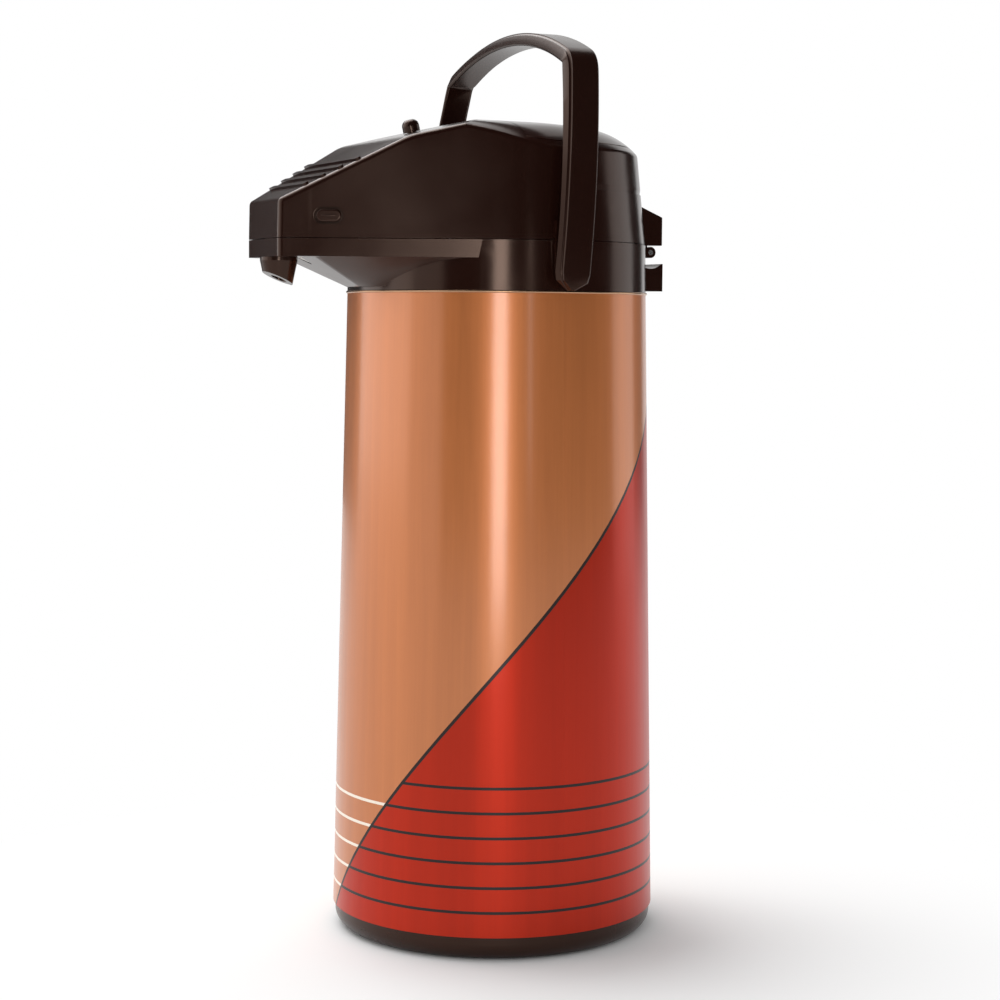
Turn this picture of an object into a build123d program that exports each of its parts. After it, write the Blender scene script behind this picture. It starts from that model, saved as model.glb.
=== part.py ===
from build123d import *

import os
from math import acos, asin, atan2, cos, degrees, hypot, radians, sin, sqrt, tan

os.makedirs("parts", exist_ok=True)

# Vacuum air pot: a tapered metal casing round a double glass liner, a hinged pump lid with a
# pouring nose, and a bail handle. Millimetres. The origin is the middle of the resting face,
# +Z is up, the nose points to -Y, the lid's hinge is at +Y, the handle's pivots are at +X and -X.

# Foot
foot_radius = 74.0
foot_height = 11.0
foot_round = 7.5
foot_wall = 3.0
foot_land = 5.5
foot_floor = 6.5
foot_floor_thickness = 2.5
spigot_step = 3.7
spigot_height = 6.0
hub_radius = 30.5
hub_wall = 3.5
hub_bottom = 4.0
hub_height = 12.0

# Casing
casing_bottom_radius = 75.0
casing_top_radius = 69.0
casing_height = 284.5
casing_wall = 0.8

# Glass liner
glass = 1.6
liner_radius = 64.0
liner_bottom = 20.0
liner_bowl = 40.0
liner_shoulder = 30.0
liner_neck_radius = 30.0
vacuum_gap = 3.2
neck_gap = 0.8
mouth_lip = 1.4

# Collar, which carries the lid, the spout and the liner's mouth
collar_height = 21.8
collar_top_radius = casing_top_radius - 0.4
collar_wall = 2.4
collar_spigot = 6.5
bowl_depth = 17.3
bowl_floor = 2.0
mouth_radius = 26.5
neck_ring_wall = 3.0
neck_ring_depth = 29.0
gasket_thickness = 2.2
gasket_skirt = 1.5
band_depth = 7.8
band_floor = 2.0
chin_drop = 20.3
chin_front = -71.7
chin_half = 7.0
chin_corner = 3.0
chin_top_front = -97.0

# Lid housing
seam_gap = 0.3
lid_wall = 2.4
lid_bottom_radius = casing_top_radius - 0.6
lid_draft = 0.1007
nose_front = -114.2
nose_half = 18.36
nose_corner = 3.0
nose_draft = 0.02
crown_height = 55.6
crown_radius = 281.0
crown_edge_radius = lid_bottom_radius - 1.9
crown_break = 0.65 * crown_edge_radius
crown_edge_drop = 17.7
deck_break_y = -61.6
deck_break_drop = 10.6
deck_slope = 13.6
nose_top_height = 16.7
deck_blend = 30.0
nose_edge_round = 2.5
ledge_height = 22.7
ledge_step = 0.5
rib_pitch = 6.8
rib_count = 4
rib_width = 2.8
rib_height = 1.0
rib_first_y = -102.0
rib_margin = 3.5

# Hinge
block_edge = 1.2
hinge_drop = 2.5
hinge_y = lid_bottom_radius + 4.1
hinge_pin_radius = 1.25
knuckle_radius = 2.6
hinge_half_width = 16.0
knuckle_half_width = 7.7
hinge_side_gap = 0.3
block_face_y = hinge_y + 6.5
block_lift = 0.7
block_height = 13.0
block_slope = 6.0
lower_block_height = 12.9
lower_block_foot = 1.1
lid_opening = 75.0

# Pump
plate_radius = lid_bottom_radius - 7.4
plate_front = -14.4
plate_gap = 0.5
plate_thickness = 2.2
plate_skirt = 9.5
skirt_wall = 2.0
stroke = 20.0
stem_radius = 11.0
stem_wall = 2.0
cup_radius = 46.5
cup_wall = 2.0
cup_depth = 15.2
bellows_radius = 40.0
bellows_fold = 7.0
bellows_wall = 1.0
bellows_folds = 6
bellows_height = 33.0
plunger_thickness = 2.4
spring_radius = 15.0
spring_wire = 1.6
spring_turns = 6
seal_radius = 41.0
seal_width = 8.0
inner_plate_thickness = 2.0
inner_plate_gap = 0.3
valve_radius = 7.0
valve_thickness = 1.0
screw_circle = lid_bottom_radius - 10.9
screw_radius = 1.3
screw_head_radius = 2.8

# Pouring way
tube_outer = 5.0
tube_inner = 3.9
elbow_bore = 2.9
tube_fit = 0.05
channel_gap = 0.3
dip_tube_y = -18.5
dip_tube_bottom = 30.0
nozzle_y = -106.8
nozzle_radius = 8.3
nozzle_tip_radius = 5.8
nozzle_length = 13.5
nozzle_bore = 3.4
nozzle_slant = 5.1
head_radius = 6.5
head_height = 12.5

# Lock
lock_y = -43.0
lock_radius = 3.9
lock_travel = 7.0
lock_proud = 6.0
lock_stem_radius = 2.2
tongue_gap = 1.5

# Release buttons
button_reach = 19.86
button_height = 9.5
button_length = 11.0
button_width = 5.5
button_travel = 2.5
recess_length = 13.5
recess_width = 7.4
recess_depth = 1.2
button_gap = 0.3
latch_gap = 0.8

# Handle
pivot_z = 304.8
handle_lean = 6.0
handle_width = 15.4
arm_thickness = 5.6
arm_foot = 9.3
arm_outer_x = casing_top_radius + 10.8
shoulder_x = arm_outer_x - 13.7
shoulder_height = 95.0
arm_bow_x = arm_outer_x - 3.5
arm_bow_height = 45.0
arch_top = 110.0
arch_thickness = 7.4
handle_corner = 5.0
foot_corner = 7.0
ear_thickness = 2.0
ear_radius = 5.4
ear_top = 21.0
ear_clearance = 0.7
pivot_radius = 3.0
pivot_depth = 3.4
pivot_washer_radius = 4.5

# Heights that follow
casing_top = foot_height + casing_height
seam = casing_top + collar_height
lid_bottom = seam + seam_gap
crown_top = seam + crown_height
bowl_z = seam - bowl_depth
band_z = seam - band_depth
hinge_z = seam - hinge_drop
plan_top = crown_top + 5.0


def tangent_angle(radius, front, half, corner):
    """Angle, from the nose's direction, of the side wall's outward normal."""
    centre_y = front + corner
    distance = hypot(half, centre_y)
    return degrees(atan2(half, -centre_y) + acos((radius - corner) / distance))


def draw_plan(radius, front, half, corner):
    """Circle drawn out by its two tangents to a blunt nose with round corners."""
    Circle(radius)
    with Locations((half, front + corner), (-half, front + corner)):
        Circle(corner)
    make_hull()


def lid_plan(z, inset):
    """The lid's plan at height z, drawn in from the outside wall."""
    rise = z - lid_bottom
    draw_plan(
        lid_bottom_radius - lid_draft * rise - inset,
        nose_front + nose_draft * rise + inset,
        nose_half,
        nose_corner - inset,
    )


def crown_line(inset):
    """Half section of the crown, drawn from the middle out to its edge, which it gives back."""
    top = crown_top - inset
    break_z = top - (crown_radius - sqrt(crown_radius**2 - crown_break**2))
    slope = asin(crown_break / crown_radius)
    edge = (crown_edge_radius - inset, crown_top - crown_edge_drop)
    RadiusArc((0, top), (crown_break, break_z), crown_radius)
    TangentArc((crown_break, break_z), edge, tangent=(cos(slope), -sin(slope)))
    return edge


def crown_form(inset):
    """Domed at the rear, and drawn forward with the same section."""
    reach = -nose_front + 10.0
    side = crown_edge_radius + 10.0
    with BuildPart() as crown:
        with BuildSketch(Plane.XZ) as half_section:
            with BuildLine():
                edge = crown_line(inset)
                Polyline(
                    edge,
                    (side, edge[1] - 10.0),
                    (side, lid_bottom - 5.0),
                    (0, lid_bottom - 5.0),
                    (0, crown_top - inset),
                )
            make_face()
        revolve(axis=Axis.Z)
        with BuildSketch(Plane.XZ):
            add(half_section.sketch)
            mirror(half_section.sketch, about=Plane.YZ)
        extrude(amount=reach)
    return crown.part


def side_form(inset):
    """Side view of the lid: level at the rear, a sloping deck, then the steeper nose."""
    break_point = (deck_break_y, crown_top - deck_break_drop - inset)
    rise = tan(radians(deck_slope)) * -deck_break_y
    nose_slope = (break_point[1] - (seam + nose_top_height - inset)) / (deck_break_y - nose_front)
    nose_end_y = nose_front - 10.0
    nose_end = (nose_end_y, break_point[1] - nose_slope * (deck_break_y - nose_end_y))
    rear = crown_edge_radius + 20.0
    with BuildPart() as side:
        with BuildSketch(Plane.YZ):
            with BuildLine():
                FilletPolyline((0, break_point[1] + rise), break_point, nose_end, radius=deck_blend)
                Polyline(
                    nose_end,
                    (nose_end_y, lid_bottom - 5.0),
                    (rear, lid_bottom - 5.0),
                    (rear, break_point[1] + rise),
                    (0, break_point[1] + rise),
                )
            make_face()
        extrude(amount=rear, both=True)
    return side.part


def lid_form(inset, bottom):
    """The whole lid as one block, drawn in by inset and cut level at bottom."""
    crown = crown_form(inset)
    side = side_form(inset)
    with BuildPart() as form:
        with BuildSketch(Plane.XY.offset(bottom)):
            lid_plan(bottom, inset)
        with BuildSketch(Plane.XY.offset(plan_top)):
            lid_plan(plan_top, inset)
        loft(ruled=True)
        add(crown, mode=Mode.INTERSECT)
        add(side, mode=Mode.INTERSECT)
    return form.part


def casing_radius(z):
    """Outside radius of the tapered casing at height z."""
    share = (z - foot_height) / casing_height
    return casing_bottom_radius + (casing_top_radius - casing_bottom_radius) * share


def deck_z(y):
    """Height of the deck or nose top on the middle line."""
    break_z = crown_top - deck_break_drop
    if y > deck_break_y:
        return min(crown_top, break_z + tan(radians(deck_slope)) * (y - deck_break_y))
    nose_slope = (break_z - seam - nose_top_height) / (deck_break_y - nose_front)
    return break_z + nose_slope * (y - deck_break_y)


# The pouring tube is straight and climbs along the chin, just above its underside
chin_rise = atan2(chin_drop - band_depth - 2.5, chin_front - chin_top_front)
tube_cover = tube_outer + channel_gap + 1.8
tube_start_z = seam - chin_drop + tube_cover / cos(chin_rise)


def tube_z(y):
    """Height of the pouring tube's axis."""
    return tube_start_z + tan(chin_rise) * (chin_front - y)


def tube_plane(y):
    """Plane across the pouring tube, facing up the nose."""
    return Plane(origin=(0, y, tube_z(y)), x_dir=(1, 0, 0), z_dir=(0, -cos(chin_rise), sin(chin_rise)))


def tube_length(y_from, y_to):
    """Length along the pouring tube between two places."""
    return (y_from - y_to) / cos(chin_rise)


wall_angle = tangent_angle(lid_bottom_radius, nose_front, nose_half, nose_corner)
wall_normal = (sin(radians(wall_angle)), -cos(radians(wall_angle)))
wall_along = (wall_normal[1], -wall_normal[0])
wall_end = (
    nose_half + nose_corner * wall_normal[0],
    nose_front + nose_corner + nose_corner * wall_normal[1],
)
button_z = lid_bottom + button_height
button_lean = button_height * (lid_draft + 4 * nose_draft) / 5


def wall_x(y):
    """Half width of the nose at its bottom edge."""
    return (lid_bottom_radius - wall_normal[1] * y) / wall_normal[0]


def button_plane(side, depth):
    """Plane on the nose's side wall at the button, facing out, moved in by depth."""
    x = wall_end[0] - wall_along[0] * button_reach - wall_normal[0] * (depth + button_lean)
    y = wall_end[1] - wall_along[1] * button_reach - wall_normal[1] * (depth + button_lean)
    return Plane(
        origin=(side * x, y, button_z),
        x_dir=(-wall_normal[1], side * wall_normal[0], 0),
        z_dir=(side * wall_normal[0], wall_normal[1], 0),
    )


# Foot: a ring with a floor, a hub for the cap and a spigot inside the casing
land_radius = foot_radius - foot_round
spigot_radius = foot_radius - spigot_step
floor_top = foot_floor + foot_floor_thickness
hub_outer = hub_radius + hub_wall
with BuildPart() as base_ring:
    with BuildSketch(Plane.XZ):
        with BuildLine():
            RadiusArc((land_radius, 0), (foot_radius, foot_round), -foot_round)
            Polyline(
                (foot_radius, foot_round),
                (foot_radius, foot_height),
                (spigot_radius, foot_height),
                (spigot_radius, foot_height + spigot_height),
                (spigot_radius - foot_wall, foot_height + spigot_height),
                (spigot_radius - foot_wall, floor_top),
                (hub_outer, floor_top),
                (hub_outer, hub_bottom + hub_height),
                (hub_radius, hub_bottom + hub_height),
                (hub_radius, hub_bottom),
                (hub_outer, hub_bottom),
                (hub_outer, foot_floor),
                (land_radius - foot_land, foot_floor),
                (land_radius - foot_land, 0),
                (land_radius, 0),
            )
        make_face()
    revolve(axis=Axis.Z)
base_ring.part.label = "base_ring"

# Cap that screws into the hub from below and carries the liner's cushion
cap_radius = hub_radius - 0.3
cap_flange = 1.4
cap_floor = 2.5
cushion_radius = 21.7
cushion_seat = hub_bottom + hub_height - 4.0
grip_width = 6.0
with BuildPart() as base_cap:
    with BuildSketch(Plane.XY.offset(hub_bottom - cap_flange)):
        Circle(hub_outer - 0.5)
    extrude(amount=cap_flange)
    with BuildSketch(Plane.XY.offset(hub_bottom)):
        Circle(cap_radius)
    extrude(amount=hub_height - 1.0)
    with BuildSketch(Plane.XY.offset(hub_bottom - cap_flange)):
        Circle(cap_radius - 4.0)
    extrude(amount=cushion_seat - cap_floor - hub_bottom + cap_flange, mode=Mode.SUBTRACT)
    with BuildSketch(Plane.XY.offset(hub_bottom - cap_flange)):
        Rectangle(2 * cap_radius - 7.0, grip_width)
    extrude(amount=cushion_seat - cap_floor - hub_bottom + cap_flange)
    with BuildSketch(Plane.XY.offset(cushion_seat)):
        Circle(cushion_radius + 0.3)
    extrude(amount=hub_height, mode=Mode.SUBTRACT)
base_cap.part.label = "base_cap"

# Casing: a tapered sheet shell with a turned-in hem at the foot
with BuildPart() as casing:
    with BuildSketch(Plane.XZ):
        with BuildLine():
            Polyline(
                (spigot_radius + 0.3, foot_height),
                (casing_bottom_radius, foot_height),
                (casing_top_radius, casing_top),
                (casing_top_radius - casing_wall, casing_top),
                (casing_bottom_radius - casing_wall, foot_height + casing_wall),
                (spigot_radius + 0.3, foot_height + casing_wall),
                close=True,
            )
        make_face()
    revolve(axis=Axis.Z)
casing.part.label = "casing"

# Glass liner, two walls joined at the mouth
liner_centre = liner_bottom + liner_bowl
neck_top = bowl_z - neck_ring_depth + 7.0
shoulder_z = neck_top - 18.0 - liner_shoulder


def glass_wall(radius, neck, bowl, centre, shoulder, top):
    """Closed section line of one glass wall, from its bottom to its neck."""
    EllipticalCenterArc((0, centre), radius, bowl, start_angle=270, arc_size=90)
    Line((radius, centre), (radius, shoulder_z))
    EllipticalCenterArc((neck, shoulder_z), radius - neck, shoulder, start_angle=0, arc_size=90)
    Line((neck, shoulder_z + shoulder), (neck, top))
    Line((neck, top), (neck - glass, top))
    Line((neck - glass, top), (neck - glass, shoulder_z + shoulder - glass))
    Line((neck - glass, shoulder_z + shoulder - glass), (neck, shoulder_z + shoulder - glass))
    EllipticalCenterArc(
        (neck, shoulder_z), radius - neck - glass, shoulder - glass, start_angle=0, arc_size=90
    )
    Line((radius - glass, shoulder_z), (radius - glass, centre))
    EllipticalCenterArc((0, centre), radius - glass, bowl - glass, start_angle=270, arc_size=90)
    Line((0, centre - bowl + glass), (0, centre - bowl))


with BuildPart() as liner_outer_glass:
    with BuildSketch(Plane.XZ):
        with BuildLine():
            glass_wall(liner_radius, liner_neck_radius, liner_bowl, liner_centre, liner_shoulder, neck_top)
        make_face()
    revolve(axis=Axis.Z)
liner_outer_glass.part.label = "liner_outer_glass"

inner_drop = glass + vacuum_gap
inner_neck = liner_neck_radius - glass - neck_gap
with BuildPart() as inner_glass:
    with BuildSketch(Plane.XZ):
        with BuildLine():
            glass_wall(
                liner_radius - inner_drop,
                inner_neck,
                liner_bowl - inner_drop,
                liner_centre,
                liner_shoulder - inner_drop,
                neck_top,
            )
        make_face()
    revolve(axis=Axis.Z)
    with BuildSketch(Plane.XY.offset(neck_top)):
        Circle(liner_neck_radius)
        Circle(inner_neck - glass, mode=Mode.SUBTRACT)
    extrude(amount=mouth_lip)

# The inner wall is one blown piece, kept as three nodes: its bowl, its straight wall and its shoulder
with BuildPart() as liner_inner_bowl:
    add(inner_glass.part)
    split(bisect_by=Plane.XY.offset(liner_centre), keep=Keep.BOTTOM)
liner_inner_bowl.part.label = "liner_inner_bowl"
with BuildPart() as liner_inner_wall:
    add(inner_glass.part)
    split(bisect_by=Plane.XY.offset(liner_centre), keep=Keep.TOP)
    split(bisect_by=Plane.XY.offset(shoulder_z), keep=Keep.BOTTOM)
liner_inner_wall.part.label = "liner_inner_wall"
with BuildPart() as liner_inner_shoulder:
    add(inner_glass.part)
    split(bisect_by=Plane.XY.offset(shoulder_z), keep=Keep.TOP)
liner_inner_shoulder.part.label = "liner_inner_shoulder"

# Rubber cushion under the liner, dished to its bottom
with BuildPart() as liner_cushion:
    with BuildSketch(Plane.XZ):
        with Locations((0, cushion_seat)):
            Rectangle(cushion_radius, liner_bowl, align=(Align.MIN, Align.MIN))
        with Locations((0, liner_centre)):
            Ellipse(liner_radius + 0.3, liner_bowl + 0.3, mode=Mode.SUBTRACT)
            Rectangle(cushion_radius, liner_bowl, align=(Align.MIN, Align.MIN), mode=Mode.SUBTRACT)
    revolve(axis=Axis.Z)
liner_cushion.part.label = "liner_cushion"

# Rubber gasket between the glass mouth and the collar
gasket_outer = liner_neck_radius + 0.3 + gasket_skirt
mouth_top = neck_top + mouth_lip
with BuildPart() as neck_gasket:
    with BuildSketch(Plane.XZ):
        with BuildLine():
            Polyline(
                (inner_neck - glass, mouth_top),
                (liner_neck_radius + 0.3, mouth_top),
                (liner_neck_radius + 0.3, mouth_top - 6.5),
                (gasket_outer, mouth_top - 6.5),
                (gasket_outer, mouth_top + gasket_thickness),
                (inner_neck - glass, mouth_top + gasket_thickness),
                close=True,
            )
        make_face()
    revolve(axis=Axis.Z)
neck_gasket.part.label = "neck_gasket"

# Collar
gasket_top = mouth_top + gasket_thickness + 0.1
ring_inner = gasket_outer + 0.3
ring_outer = ring_inner + neck_ring_wall
bowl_radius = collar_top_radius - collar_wall
under_radius = bowl_radius - 2.7
casing_inside = casing_radius(casing_top - collar_spigot) - casing_wall
channel_radius = tube_outer + channel_gap
ring_hole = tube_inner + 0.1
channel_start = -ring_outer - 4.0
with BuildPart() as collar:
    with BuildSketch(Plane.XY.offset(seam - chin_drop)):
        draw_plan(casing_top_radius - 0.1, chin_front, chin_half, chin_corner)
    with BuildSketch(Plane.XY.offset(band_z)):
        draw_plan(collar_top_radius, chin_top_front, nose_half, nose_corner)
    loft(ruled=True)
    with BuildSketch(Plane.XY.offset(band_z)):
        draw_plan(lid_bottom_radius, nose_front, nose_half, nose_corner)
    extrude(amount=band_depth)
    with BuildSketch(Plane.XZ):
        Polygon(
            (0, casing_top), (casing_top_radius, casing_top), (collar_top_radius, seam), (0, seam), align=None
        )
    revolve(axis=Axis.Z)
    with BuildSketch(Plane.XY.offset(casing_top - collar_spigot)):
        Circle(casing_inside - 0.3)
    extrude(amount=collar_spigot)
    with BuildSketch(Plane.XY.offset(bowl_z)):
        Circle(bowl_radius)
    extrude(amount=bowl_depth, mode=Mode.SUBTRACT)
    with BuildSketch(Plane.XY.offset(casing_top - collar_spigot)):
        Circle(under_radius)
    extrude(amount=collar_spigot + bowl_z - bowl_floor - casing_top, mode=Mode.SUBTRACT)
    with BuildSketch(Plane.XY.offset(band_z + band_floor)):
        draw_plan(
            lid_bottom_radius - collar_wall, nose_front + collar_wall, nose_half, nose_corner - collar_wall
        )
    extrude(amount=band_depth, mode=Mode.SUBTRACT)
    with BuildSketch(Plane.XY.offset(bowl_z - neck_ring_depth)):
        Circle(ring_outer)
    extrude(amount=neck_ring_depth)
    with BuildSketch(Plane.XY.offset(bowl_z - neck_ring_depth)):
        Circle(ring_inner)
    extrude(amount=gasket_top - bowl_z + neck_ring_depth, mode=Mode.SUBTRACT)
    with BuildSketch(Plane.XY.offset(gasket_top)):
        Circle(mouth_radius)
    extrude(amount=neck_ring_depth, mode=Mode.SUBTRACT)
    with BuildSketch(tube_plane(channel_start)):
        Circle(channel_radius)
    extrude(amount=tube_length(channel_start, nozzle_y), mode=Mode.SUBTRACT)
    with BuildSketch(Plane.YZ):
        Polygon(
            (channel_start - 5.0, tube_z(channel_start - 5.0)),
            (nozzle_y, tube_z(nozzle_y)),
            (nozzle_y, seam + 5.0),
            (channel_start - 5.0, seam + 5.0),
            align=None,
        )
    extrude(amount=channel_radius, both=True, mode=Mode.SUBTRACT)
    with BuildSketch(tube_plane(dip_tube_y - 4.0)):
        Circle(ring_hole)
    extrude(amount=tube_length(dip_tube_y - 4.0, channel_start - 1.0), mode=Mode.SUBTRACT)
    with BuildSketch(Plane.XY.offset(band_z)):
        with Locations((0, nozzle_y)):
            Circle(nozzle_bore + 2.0)
    extrude(amount=band_depth, mode=Mode.SUBTRACT)
    with BuildSketch(Plane.YZ):
        Polygon(
            (bowl_radius + 0.5, casing_top + lower_block_foot),
            (block_face_y, casing_top + lower_block_foot),
            (block_face_y, casing_top + lower_block_foot + lower_block_height),
            (bowl_radius + 0.5, casing_top + lower_block_foot + lower_block_height),
            align=None,
        )
        with Locations((hinge_y, hinge_z)):
            Circle(hypot(block_face_y - hinge_y, block_lift + hinge_drop) + 0.4, mode=Mode.SUBTRACT)
    extrude(amount=hinge_half_width, both=True)
    for side in (-1, 1):
        with BuildSketch(Plane.YZ.offset(side * (knuckle_half_width + hinge_side_gap))):
            with Locations((hinge_y, hinge_z)):
                Circle(knuckle_radius)
            Polygon(
                (bowl_radius + 0.5, hinge_z - knuckle_radius),
                (hinge_y, hinge_z - knuckle_radius),
                (hinge_y, hinge_z + knuckle_radius - 0.6),
                (bowl_radius + 0.5, hinge_z + knuckle_radius - 0.6),
                align=None,
            )
            with Locations((hinge_y, hinge_z)):
                Circle(hinge_pin_radius, mode=Mode.SUBTRACT)
        extrude(amount=side * (hinge_half_width - knuckle_half_width - hinge_side_gap))
collar.part.label = "collar"

# Hinge pin, fixed in the collar's knuckles
with BuildPart() as hinge_pin:
    with BuildSketch(Plane.YZ):
        with Locations((hinge_y, hinge_z)):
            Circle(hinge_pin_radius)
    extrude(amount=hinge_half_width, both=True)
hinge_pin.part.label = "hinge_pin"

# Dip tube, cut slanting at the foot so that it cannot seal against the glass
dip_top = neck_top - 13.0
with BuildPart() as dip_tube:
    with BuildSketch(Plane.XY.offset(dip_tube_bottom)):
        with Locations((0, dip_tube_y)):
            Circle(tube_inner)
            Circle(elbow_bore, mode=Mode.SUBTRACT)
    extrude(amount=dip_top - dip_tube_bottom)
    with BuildSketch(Plane.YZ):
        Polygon(
            (dip_tube_y - tube_inner - 0.1, dip_tube_bottom),
            (dip_tube_y + tube_inner + 0.1, dip_tube_bottom),
            (dip_tube_y + tube_inner + 0.1, dip_tube_bottom + 2 * tube_inner),
            align=None,
        )
    extrude(amount=tube_outer, both=True, mode=Mode.SUBTRACT)
dip_tube.part.label = "dip_tube"

# Elbow through the neck ring, with a sleeve over the dip tube and a spigot in the pouring tube
elbow_end_y = channel_start - 12.0
elbow_bend = 7.0
sleeve_depth = 6.0
with BuildPart() as tube_elbow:
    with BuildLine(Plane.YZ) as elbow_path:
        FilletPolyline(
            (dip_tube_y, dip_top),
            (dip_tube_y, tube_z(dip_tube_y)),
            (elbow_end_y, tube_z(elbow_end_y)),
            radius=elbow_bend,
        )
    with BuildSketch(Plane.XY.offset(dip_top)):
        with Locations((0, dip_tube_y)):
            Circle(tube_inner)
            Circle(elbow_bore, mode=Mode.SUBTRACT)
    sweep(path=elbow_path.line)
    with BuildSketch(Plane.XY.offset(dip_top - sleeve_depth)):
        with Locations((0, dip_tube_y)):
            Circle(tube_inner + 1.5)
            Circle(tube_inner + tube_fit, mode=Mode.SUBTRACT)
    extrude(amount=sleeve_depth)
    with BuildSketch(Plane.XY.offset(dip_top)):
        with Locations((0, dip_tube_y)):
            Circle(tube_inner + 1.5)
            Circle(tube_inner - 0.3, mode=Mode.SUBTRACT)
    extrude(amount=1.5)
tube_elbow.part.label = "tube_elbow"

# Soft pouring tube, up the chin to the spout head
pour_start_y = channel_start - 0.5
pour_end_y = nozzle_y + head_radius + 2.8
with BuildPart() as pour_tube:
    with BuildSketch(tube_plane(pour_start_y)):
        Circle(tube_outer)
        Circle(tube_inner + tube_fit, mode=Mode.SUBTRACT)
    extrude(amount=tube_length(pour_start_y, pour_end_y))
pour_tube.part.label = "pour_tube"

# Spout head in the nose's tray, with a spigot into the pouring tube
head_bottom = band_z + band_floor
spigot_start_y = pour_end_y + 9.0
with BuildPart() as spout_head:
    with BuildSketch(Plane.XY.offset(head_bottom)):
        with Locations((0, nozzle_y)):
            Circle(head_radius)
    extrude(amount=head_height)
    fillet(spout_head.edges().group_by(Axis.Z)[-1], radius=2.0)
    with BuildSketch(tube_plane(spigot_start_y)):
        Circle(tube_inner)
    extrude(amount=tube_length(spigot_start_y, nozzle_y))
    with BuildSketch(Plane.XY.offset(head_bottom)):
        with Locations((0, nozzle_y)):
            Circle(nozzle_bore)
    extrude(amount=head_height - 2.0, mode=Mode.SUBTRACT)
    with BuildSketch(Plane.XY.offset(head_bottom)):
        with Locations((0, nose_front + collar_wall + 0.4)):
            Rectangle(4 * head_radius, 2 * head_radius, align=(Align.CENTER, Align.MAX))
    extrude(amount=head_height, mode=Mode.SUBTRACT)
    with BuildSketch(tube_plane(spigot_start_y)):
        Circle(elbow_bore)
    extrude(amount=tube_length(spigot_start_y, nozzle_y), mode=Mode.SUBTRACT)
spout_head.part.label = "spout_head"

# Spout nozzle under the nose, cut slanting at its mouth
nozzle_tip_z = band_z - nozzle_length
with BuildPart() as spout_nozzle:
    with BuildSketch(Plane(origin=(0, nozzle_y, 0), x_dir=(1, 0, 0), z_dir=(0, -1, 0))):
        Polygon(
            (nozzle_bore, head_bottom),
            (nozzle_bore + 1.7, head_bottom),
            (nozzle_bore + 1.7, band_z),
            (nozzle_radius, band_z),
            (nozzle_radius, band_z - 1.5),
            (nozzle_tip_radius, nozzle_tip_z),
            (nozzle_bore, nozzle_tip_z),
            align=None,
        )
    revolve(axis=Axis((0, nozzle_y, 0), (0, 0, 1)))
    with BuildSketch(Plane.YZ):
        Polygon(
            (nozzle_y - nozzle_radius, nozzle_tip_z - 1.0),
            (nozzle_y + nozzle_radius, nozzle_tip_z - 1.0),
            (nozzle_y + nozzle_tip_radius, nozzle_tip_z + 1.5),
            (nozzle_y - nozzle_radius, nozzle_tip_z + 1.5 + nozzle_slant * 1.2),
            align=None,
        )
    extrude(amount=nozzle_radius, both=True, mode=Mode.SUBTRACT)
spout_nozzle.part.label = "spout_nozzle"

# Lid housing: one moulded shell with the nose, the deck, the ledge, the ears and the hinge block
plate_edge_z = crown_top - 11.0
well_bottom = crown_top - stroke - 10.9
well_front = plate_front - plate_gap
well_wall = 2.4
ledge_z = lid_bottom + inner_plate_thickness + 0.9
ledge_inner = 54.5
boss_height = 7.5
block_z = seam + block_lift
block_inner = lid_bottom_radius - lid_wall - 1.4
ear_inner_x = casing_top_radius + ear_clearance
ear_outer_x = ear_inner_x + ear_thickness
skirt_bottom = plate_edge_z - plate_skirt
tongue_thickness = 2.2
tongue_half = 5.0
tongue_z = skirt_bottom - 2.7 - tongue_thickness
deck_plane = Plane(
    origin=(0, lock_y, deck_z(lock_y)),
    x_dir=(1, 0, 0),
    z_dir=(0, -sin(radians(deck_slope)), cos(radians(deck_slope))),
)
nose_slope_angle = degrees(
    atan2(crown_top - deck_break_drop - seam - nose_top_height, deck_break_y - nose_front)
)
with BuildPart() as lid_block:
    add(lid_form(0.0, lid_bottom))
    top_edges = lid_block.edges().filter_by(GeomType.BSPLINE)
    fillet([edge for edge in top_edges if edge.bounding_box().min.Z > seam + 10.0], radius=nose_edge_round)
lid_outer = lid_block.part
lid_inner = lid_form(lid_wall, lid_bottom - 1.0)
outer_crown = crown_form(0.0)
inner_crown = crown_form(plate_thickness)
with BuildPart() as well:
    with BuildSketch(Plane.XY.offset(well_bottom)):
        with Locations((0, well_front - well_wall / 2)):
            Rectangle(2 * lid_bottom_radius, well_wall)
    extrude(amount=crown_top - well_bottom)
    add(lid_outer, mode=Mode.INTERSECT)
with BuildPart() as hinge_block:
    with BuildSketch(Plane.YZ):
        Polygon(
            (block_inner, block_z),
            (block_face_y, block_z),
            (block_face_y, block_z + block_height),
            (block_inner, block_z + block_height + block_slope),
            align=None,
        )
    extrude(amount=hinge_half_width, both=True)
    fillet(hinge_block.faces().sort_by(Axis.Y)[-1].edges(), radius=block_edge)
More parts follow.
